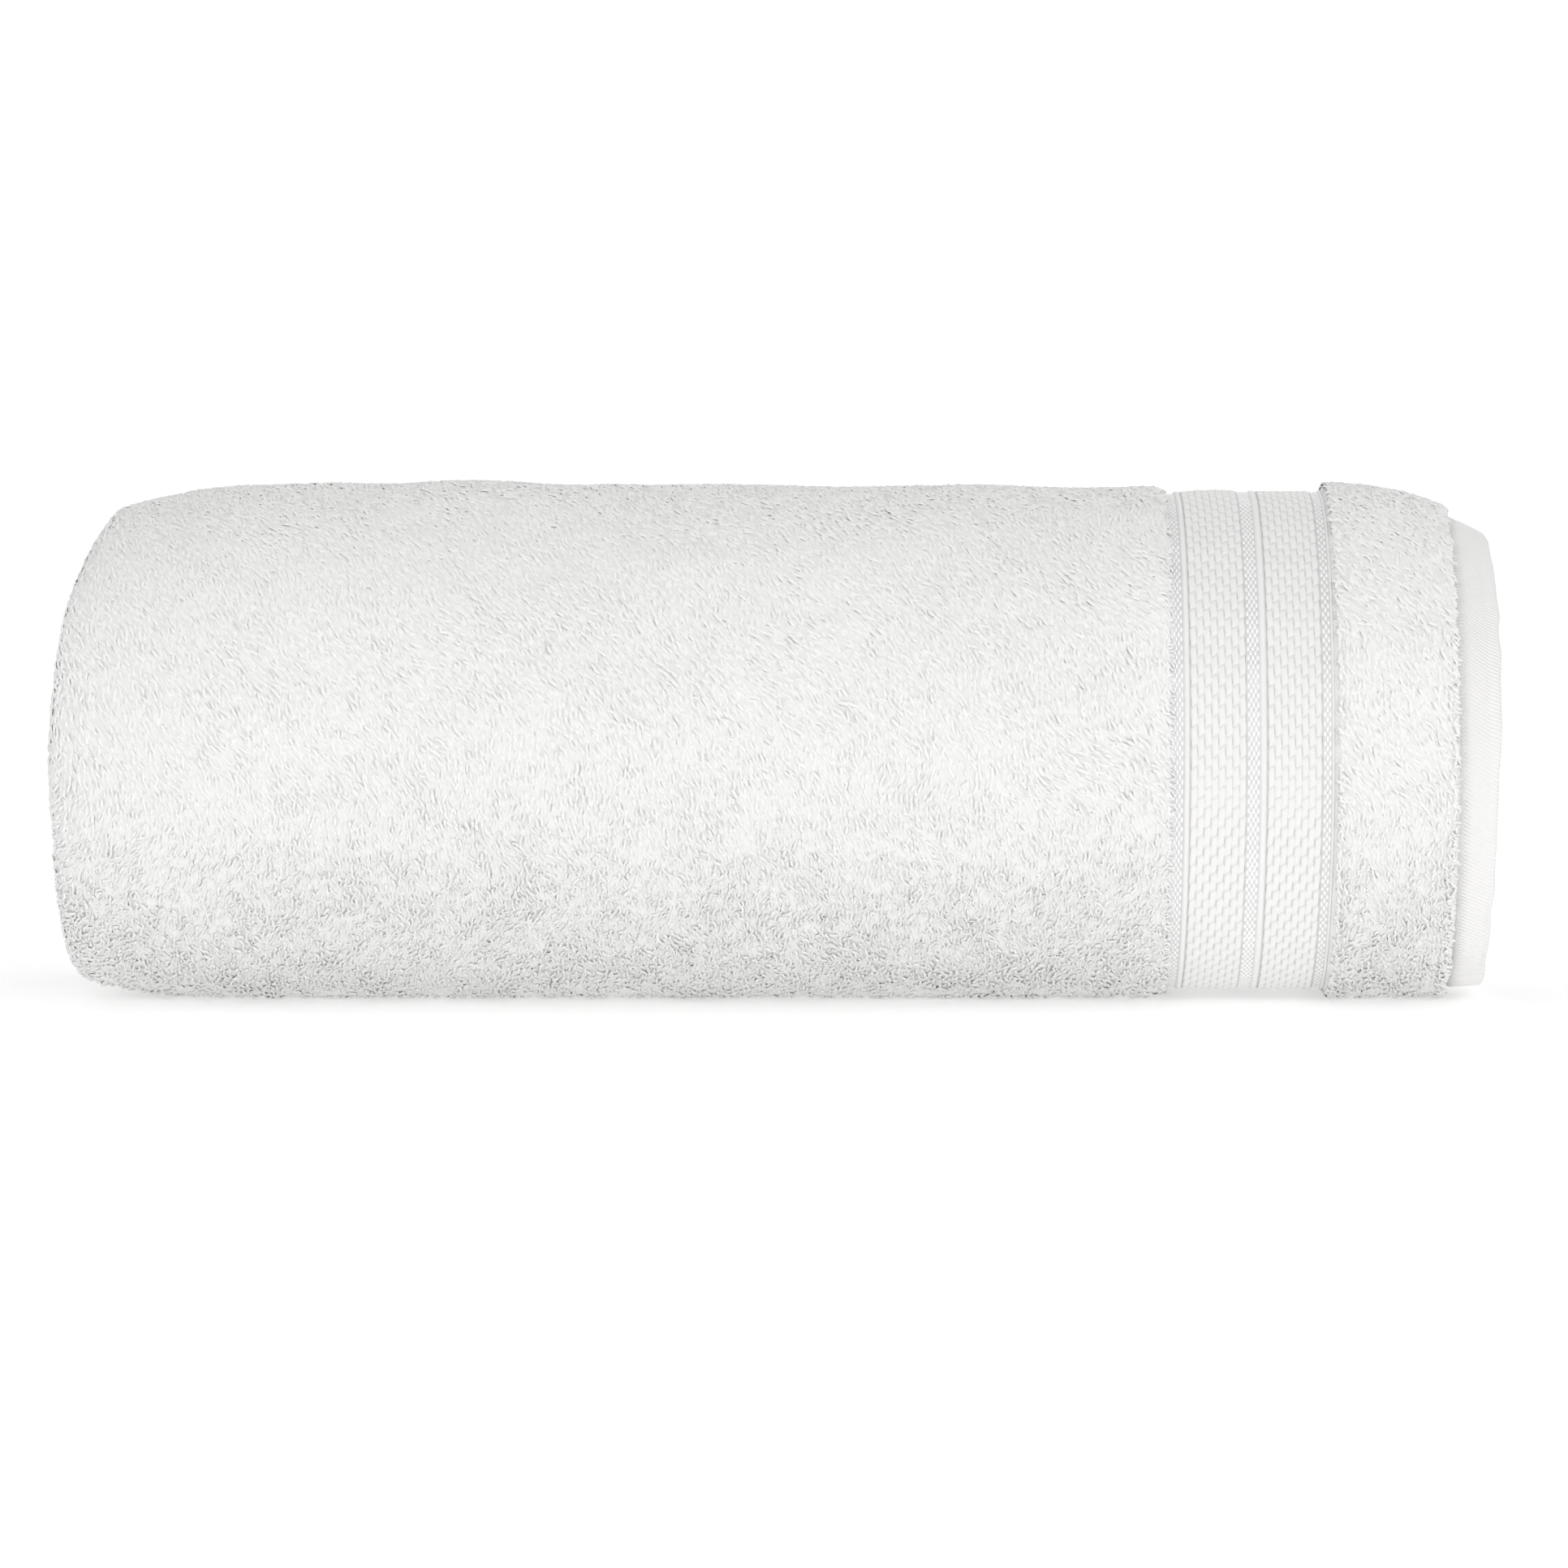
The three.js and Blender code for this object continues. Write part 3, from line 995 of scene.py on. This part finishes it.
def tubeFaces(rings):
    # a root, rings of three corners each and another root
    last = 3 * rings + 1
    faces = [(0, 2, 1), (0, 3, 2), (0, 1, 3)]
    for first in range(1, last - 3, 3):
        for a, b in ((0, 1), (1, 2), (2, 0)):
            a, b, c, d = first + a, first + b, first + 3 + b, first + 3 + a
            faces += [(a, b, c), (a, c, d)]
    first = last - 3
    faces += [(last, first, first + 1), (last, first + 1, first + 2), (last, first + 2, first)]
    return np.array(faces)


def loopForms(ways, turn, rise, length, wide, high, curl, rng):
    # corners of bent loops: a root, rings of yarn at each of the ways along it, and a root
    count = len(turn)
    swing = np.radians([90, 210, 330])[None, :]
    swing = swing + rng.uniform(-pile["swing"], pile["swing"], count)[:, None]
    slope = rng.normal(0, pile["slope"], count)
    bowed = lambda way: curl * (1 - 4 * way ** 2) - 0.5 * curl

    def root(way):
        depth = np.full(count, -pile["rootDepth"])
        return np.stack([way * length, bowed(way), depth], axis=-1)[:, None]

    parts = [root(-0.5)]
    for way in ways:
        parts.append(np.stack([
            np.repeat((way * length)[:, None], 3, axis=1),
            bowed(way)[:, None] + np.cos(swing) * wide[:, None],
            (rise + slope * way * 4 - high)[:, None] + np.sin(swing) * high[:, None],
        ], axis=-1))
    form = np.concatenate(parts + [root(0.5)], axis=1)
    # the form lies along its first axis; turned, it lies around the roll
    lie, off, up = form[..., 0], form[..., 1], form[..., 2]
    c, s = np.cos(turn)[:, None], np.sin(turn)[:, None]
    return np.stack([lie * s + off * c, lie * c - off * s, up], axis=-1)


def calmShare(angle):
    return overTop(angle, *pile["calmOver"])


def makeLoops(name, patch, seed):
    # the pile of one patch: brushed strokes over the top, plump curls low on the front
    rng = np.random.default_rng(seed)
    along, around = loopLattice(patch, rng)
    spot = onPatch(patch, along, around)
    angle = angleOfPoint(spot.point)
    restsFrom, restsOver = pile["restsFrom"]
    resting = smooth((np.sin(-angle) - restsFrom) / restsOver)
    kept = rng.uniform(0, 1, len(along)) > pile["sparseBelow"] * resting
    along, around, angle = along[kept], around[kept], angle[kept]
    count = len(along)
    u, v = spot.flat[kept].T
    brushed, calm = brushedShare(angle), calmShare(angle)
    byPlace = lambda key: blend(*pile[key], brushed)

    def sized(key):
        size, shares, spread = pile[key]
        return size * blend(*shares, brushed) * rng.uniform(*spread, count)

    turn = napTurn(u, v) + rng.normal(0, 1, count) * byPlace("turnScatter")
    wide, high, noise = pile["drift"]
    turn = turn + byPlace("turnDrift") * unevenness(u / wide, v / high, noise)
    wide, high, noise = pile["clumps"]
    clump = byPlace("clumpHeight") * unevenness(u / wide, v / high, noise)
    height, shares = pile["rise"]
    rise = height * blend(*shares, brushed) + clump
    scatter, calmed = pile["riseScatter"]
    rise = rise + rng.normal(0, scatter, count) * blend(1.0, calmed, calm)
    higher, share = pile["proud"]
    rise = rise + higher * (1 - calm) * (rng.uniform(0, 1, count) < share)
    length, wide, high = sized("length"), sized("wide"), sized("high")
    curl = rng.normal(0, 1, count) * byPlace("curl")
    forward = smooth(0.5 - 2 * np.cos(angle))
    curled = rng.uniform(0, 1, count) < forward * smooth(1.3 - 2.2 * brushed)
    soft = blend(pile["softBelow"], pile["softAbove"], brushed)
    soft = blend(soft, pile["softOnTop"], calm)
    made = []
    for label, chosen, key in (("", ~curled, "brushedWays"), ("_curls", curled, "curledWays")):
        if not chosen.any():
            continue
        sizes = [values[chosen] for values in (turn, rise, length, wide, high, curl)]
        local, faces = loopForms(pile[key], *sizes, rng), tubeFaces(len(pile[key]))
        places = along[chosen], around[chosen]
        made.append(plant(name + label, patch, *places, local, faces, "loops", soft[chosen]))
    return made


pileEdge = {  # the ragged rows of loops where the pile ends
    "rows": [  # name, pile, place along it, overhang, turn from the roll's round, scatter, spacing
        ("long_pile_edge", "long", "start", -0.3, 1.35, 0.5, 1.35),
        ("short_pile_edge", "short", "end", -0.3, 0.1, 0.35, 2.2),
        ("hem_side_edge", "short", "start", 0.75, 1.25, 0.6, 1.75),
    ],
    "margin": 0.5,
    "scatter": (0.35, 0.4),  # around and along
    "gapsBelow": -0.72,
    "length": (2.8, 4.6),
    "rise": (0.35, 1.0),
    "wide": (0.45, 0.68),
    "high": (0.36, 0.5),
    "curl": 0.9,
    "riseShare": (1.15, 0.7),  # low on the roll and over the top
    "turnShare": (1, 0.75),
    "calmRise": 0.7,
    "softBelow": 0.15,
}


def makeEdgeLoops(name, patch, seed, along, overhang, lie, scatter, spacing):
    rng = np.random.default_rng(seed)
    margin, (aroundScatter, alongScatter) = pileEdge["margin"], pileEdge["scatter"]
    around = np.arange(margin, patch.aroundAt[-1] - margin, spacing)
    around = around + rng.normal(0, aroundScatter, len(around))
    around = around[unevenness(around / 3, around / 40, 26) > pileEdge["gapsBelow"]]
    count = len(around)
    spread = lambda key: rng.uniform(*pileEdge[key], count)
    angle = angleOfPoint(onPatch(patch, np.full(count, along), around).point)
    brushed, calm = brushedShare(angle), calmShare(angle)
    turn = lie * blend(*pileEdge["turnShare"], brushed) + rng.normal(0, scatter, count)
    length = spread("length")
    rise = spread("rise") * blend(*pileEdge["riseShare"], brushed)
    rise = rise * blend(1.0, pileEdge["calmRise"], calm)
    wide, high = spread("wide"), spread("high")
    curl = rng.normal(0, pileEdge["curl"], count)
    ways = pile["curledWays"]
    local = loopForms(ways, turn, rise, length, wide, high, curl, rng)
    places = along + overhang + rng.normal(0, alongScatter, count)
    soft = blend(pileEdge["softBelow"], pile["softOnTop"], calm)
    return plant(name, patch, places, around, local, tubeFaces(len(ways)), "loops", soft)


def pileSections(patch, parts):
    # cuts a patch into parts along the roll, so that each piece stays small
    cuts = np.linspace(0, patch.points.shape[1] - 1, parts + 1).round().astype(int)
    for a, b in zip(cuts[:-1], cuts[1:]):
        yield SimpleNamespace(
            points=patch.points[:, a:b + 1], normal=patch.normal[:, a:b + 1],
            flat=patch.flat[:, a:b + 1],
            alongAt=patch.alongAt[a:b + 1] - patch.alongAt[a], aroundAt=patch.aroundAt,
        )


def rowAt(turns):
    return int(np.searchsorted(wound.rows * bundleTurns, turns))


overlapTurns = 0.04  # how far the outer face's patches reach in under the tail
outerRows = (rowAt(bundleTurns - 1 - overlapTurns), rowAt(bundleTurns - sideHemTurns))
innerRows, allRows = (0, outerRows[0]), (0, outerRows[1])
foldStart, _ = pathSpan("big fold")
lastFoldStart, lastFoldEnd = pathSpan("last fold")
foldFace, foldRim, foldInside = foldStart + 3, foldStart + 12, foldStart + 15
longPatch = surfacePatch(outerRows, (pathSpan("shoulder foot")[0], foldRim))
shortPatch = surfacePatch(outerRows, pathSpan("short pile"))
otherPatches = [
    ("short_pile", shortPatch, 110),
    ("fold_pile", surfacePatch(innerRows, (foldFace, foldInside)), 120),
    ("fold_rim_pile", surfacePatch(outerRows, (foldRim, foldInside)), 121),
    ("last_fold_pile", surfacePatch(allRows, (lastFoldStart + 1, lastFoldEnd - 1)), 122),
]

pieces = []
for number, section in enumerate(pileSections(longPatch, 4), start=1):
    pieces += makeLoops(f"long_pile_{number}", section, 100 + number)
for name, patch, seed in otherPatches:
    pieces += makeLoops(name, patch, seed)
for seed, (name, pileName, end, *form) in enumerate(pileEdge["rows"], start=130):
    patch = {"long": longPatch, "short": shortPatch}[pileName]
    along = 0.0 if end == "start" else patch.alongAt[-1]
    pieces.append(makeEdgeLoops(name, patch, seed, along, *form))
print("pile:", sum(len(p.data.polygons) for p in pieces), "triangles")

border = {  # floats of yarn between raised ribs
    "from": 171.9,  # where the border's patch begins along the roll
    "twillBands": [("twill_1", 168.2, 151.5), ("twill_2", 145.0, 127.9)],
    "twillColumns": 8,
    "twillPitch": 6.3,
    "twillStep": 0.9,
    "twillSlant": 1.0,
    "twillRise": 0.5,
    "twillMargin": 0.6,
    "twillPoints": (0.03, 0.25, 0.5, 0.75, 0.97),  # shares of the way across a float
    "twillEnds": (0.6, 5),  # how far and how sharply a float falls at its ends
    "twillSides": (0.4, 2.5),
    "twillTilt": 0.22,
    "twillUneven": 0.1,
    # which corners of the twill's gaps are deep and painted darker as shade, flipping between the
    # top and the foot of the roll as the light falls
    "shadedCornersOver": (0.64, 1.6),  # level and rate of the rise to the top
    "satinBands": [("satin_1", 171.0, 168.6), ("satin_2", 149.0, 145.4), ("satin_3", 125.7, 122.6)],
    "satinPitch": (0.77, 3.0),
    "satinSize": (1.3, 3.1),
    "satinRise": 0.22,
    "satinSink": 0.08,
    "satinSpread": (0.85, 1.15),
    "satinSoft": 0.35,
    "ribs": [("rib_1", 172.3, 171.1), ("rib_2", 151.15, 149.2), ("rib_3", 127.6, 125.9)],
    "ribRise": 0.7,
    "ribSink": 0.15,
    "ribStep": 3.0,
    "ribMargin": 0.4,
    "under": -0.3,  # how deep in the cloth a band's plain lower face lies
}


def makeRelief(name, spot, height, finish, weave=None):
    # a closed strip: a raised face and a plain one under it
    rows, columns = height.shape
    count = rows * columns
    top = spot.point + spot.normal * height.reshape(-1, 1)
    index = np.arange(count).reshape(rows, columns)
    sides = np.concatenate([index[:, 0], index[:, -1]])
    bottom = spot.point[sides] + spot.normal[sides] * border["under"]
    points = np.concatenate([top, bottom])
    points[:, 2] = np.maximum(points[:, 2], cloth["floorClear"])
    flat = np.concatenate([spot.flat, spot.flat[sides]])
    if weave is not None:
        weave = np.concatenate([weave, weave[sides]])
    left, right = count + np.arange(rows), count + rows + np.arange(rows)

    def strip(a, b):
        return np.stack([a[:-1], a[1:], b[1:], b[:-1]], axis=-1)

    quads = np.concatenate([
        gridFaces(rows, columns)[:, ::-1],
        strip(index[:, 0], left)[:, ::-1],
        np.stack([index[1:, -1], index[:-1, -1], right[:-1], right[1:]], axis=-1)[:, ::-1],
        strip(left, right)[:, ::-1],
    ])
    caps = []
    for row, turned in ((0, False), (rows - 1, True)):
        ring = np.concatenate([index[row], [right[row], left[row]]])
        fan = [(ring[0], ring[i], ring[i + 1]) for i in range(1, len(ring) - 1)]
        caps += [face[::-1] if turned else face for face in fan]
    faces = np.concatenate([quads[:, [0, 1, 2]], quads[:, [0, 2, 3]], np.array(caps)])
    return makePiece(name, points, faces, flat, [finish], weave=weave)


def makeTwill(name, patch, start, end, seed):
    # one band of plump floats, each leaning and half a float lower than its neighbour
    columns, pitch, margin = (border[key] for key in ("twillColumns", "twillPitch", "twillMargin"))
    width = (start - end) / columns
    shares = np.array(border["twillPoints"])
    a = np.tile(shares * 2 - 1, columns)
    column = np.repeat(np.arange(columns), len(shares))
    across = border["from"] - start + width * (column + np.tile(shares, columns))
    rows = np.arange(margin, patch.aroundAt[-1] - margin, border["twillStep"])
    along, around = np.meshgrid(across, rows)
    shift = pitch / 2 * (column % 2) - border["twillSlant"] * a / 2
    turns = (around - shift[None, :]) / pitch
    b = 2 * (turns - np.floor(turns)) - 1
    fall = lambda key, way: 1 - border[key][0] * np.abs(way) ** border[key][1]
    noise = unevenness(np.floor(turns) * 3.7 + column * 1.3, turns * 0 + 0.5, seed)
    height = border["twillRise"] * fall("twillEnds", b) * fall("twillSides", a)[None, :]
    height = height * (1 - border["twillTilt"] * b) * (1 + border["twillUneven"] * noise)
    spot = onPatch(patch, along.ravel(), around.ravel())
    # flips the deep, painted-shade corners of the gaps between the upper half of the roll and its
    # foot, as the light falls
    steps = overTop(angleOfPoint(spot.point), *border["shadedCornersOver"]) * 2 - 1
    places = (along - border["from"] + start) / width, around / pitch
    weave = np.stack([places[0].ravel(), places[1].ravel(), steps, 0 * steps], axis=-1)
    return makeRelief(name, spot, height, "floats", weave)


def makeSatin(name, patch, start, end, seed):
    rng = np.random.default_rng(seed)
    pitch, length = border["satinPitch"]
    columns = max(3, int(round((start - end) / pitch)))
    width = (start - end) / columns
    centres = border["from"] - start + width * (np.arange(columns) + 0.5)
    rows = np.arange(length / 2, patch.aroundAt[-1] - length / 2, length)
    along, around = (places.ravel() for places in halfDrop(centres, rows, length))
    count = len(along)
    sides = 6
    turns = np.linspace(0, fullTurn, sides, endpoint=False)
    wide, long = border["satinSize"]
    sink = np.full(sides, -border["satinSink"])
    rim = np.stack([np.cos(turns) * wide / 2, np.sin(turns) * long / 2, sink], axis=-1)
    faces = [(0, 1 + i, 1 + (i + 1) % sides) for i in range(sides)]
    faces += [(1, 2 + i, 1 + i) for i in range(1, sides - 1)]
    local = np.repeat(np.concatenate([[[0, 0, 1.0]], rim])[None], count, axis=0)
    local[:, 0, 2] = border["satinRise"] * rng.uniform(*border["satinSpread"], count)
    soft = np.full(count, border["satinSoft"])
    return plant(name, patch, along, around, local, np.array(faces)[:, ::-1], "satin", soft)


def makeRib(name, patch, start, end):
    # a smooth raised cord of the weave, all the way round
    margin, sink = border["ribMargin"], border["ribSink"]
    rows = np.arange(margin, patch.aroundAt[-1] - margin, border["ribStep"])
    turns = np.linspace(0, math.pi, 7)
    across = border["from"] - (start + end) / 2 - np.cos(turns) * (start - end) / 2
    along, around = np.meshgrid(across, rows)
    height = np.tile(np.sin(turns) * (border["ribRise"] + sink) - sink, (len(rows), 1))
    return makeRelief(name, onPatch(patch, along.ravel(), around.ravel()), height, "rib")


borderPatch = surfacePatch(outerRows, pathSpan("rib", "satin", "twill"))
borderPieces = []
for seed, (name, start, end) in enumerate(border["twillBands"], start=140):
    borderPieces.append(makeTwill(name, borderPatch, start, end, seed))
for seed, (name, start, end) in enumerate(border["satinBands"], start=150):
    borderPieces.append(makeSatin(name, borderPatch, start, end, seed))
for name, start, end in border["ribs"]:
    borderPieces.append(makeRib(name, borderPatch, start, end))
pieces += borderPieces
print("border:", sum(len(p.data.polygons) for p in borderPieces), "triangles")

sweep = {"reach": 6.0, "back": 4.8, "bend": 1.4, "height": 4.0, "bendSteps": 16}  # in metres


def addFloor():
    # flat under the roll, curving up far behind it
    reach, back, bend = sweep["reach"], sweep["back"], sweep["bend"]
    profile = [(-reach, 0.0), (back - bend, 0.0)]
    for turn in np.linspace(0, math.pi / 2, sweep["bendSteps"] + 1)[1:]:
        profile.append((back - bend + bend * math.sin(turn), bend - bend * math.cos(turn)))
    profile.append((back, sweep["height"]))
    points = [(x, y, z) for y, z in profile for x in (-reach, reach)]
    faces = [(2 * i, 2 * i + 1, 2 * i + 3, 2 * i + 2) for i in range(len(profile) - 1)]
    mesh = bpy.data.meshes.new("floor")
    mesh.from_pydata(points, [], faces)
    mesh.polygons.foreach_set("use_smooth", [True] * len(faces))
    mesh.materials.append(makeFloor())
    floor = addObject("floor", mesh)


addFloor()
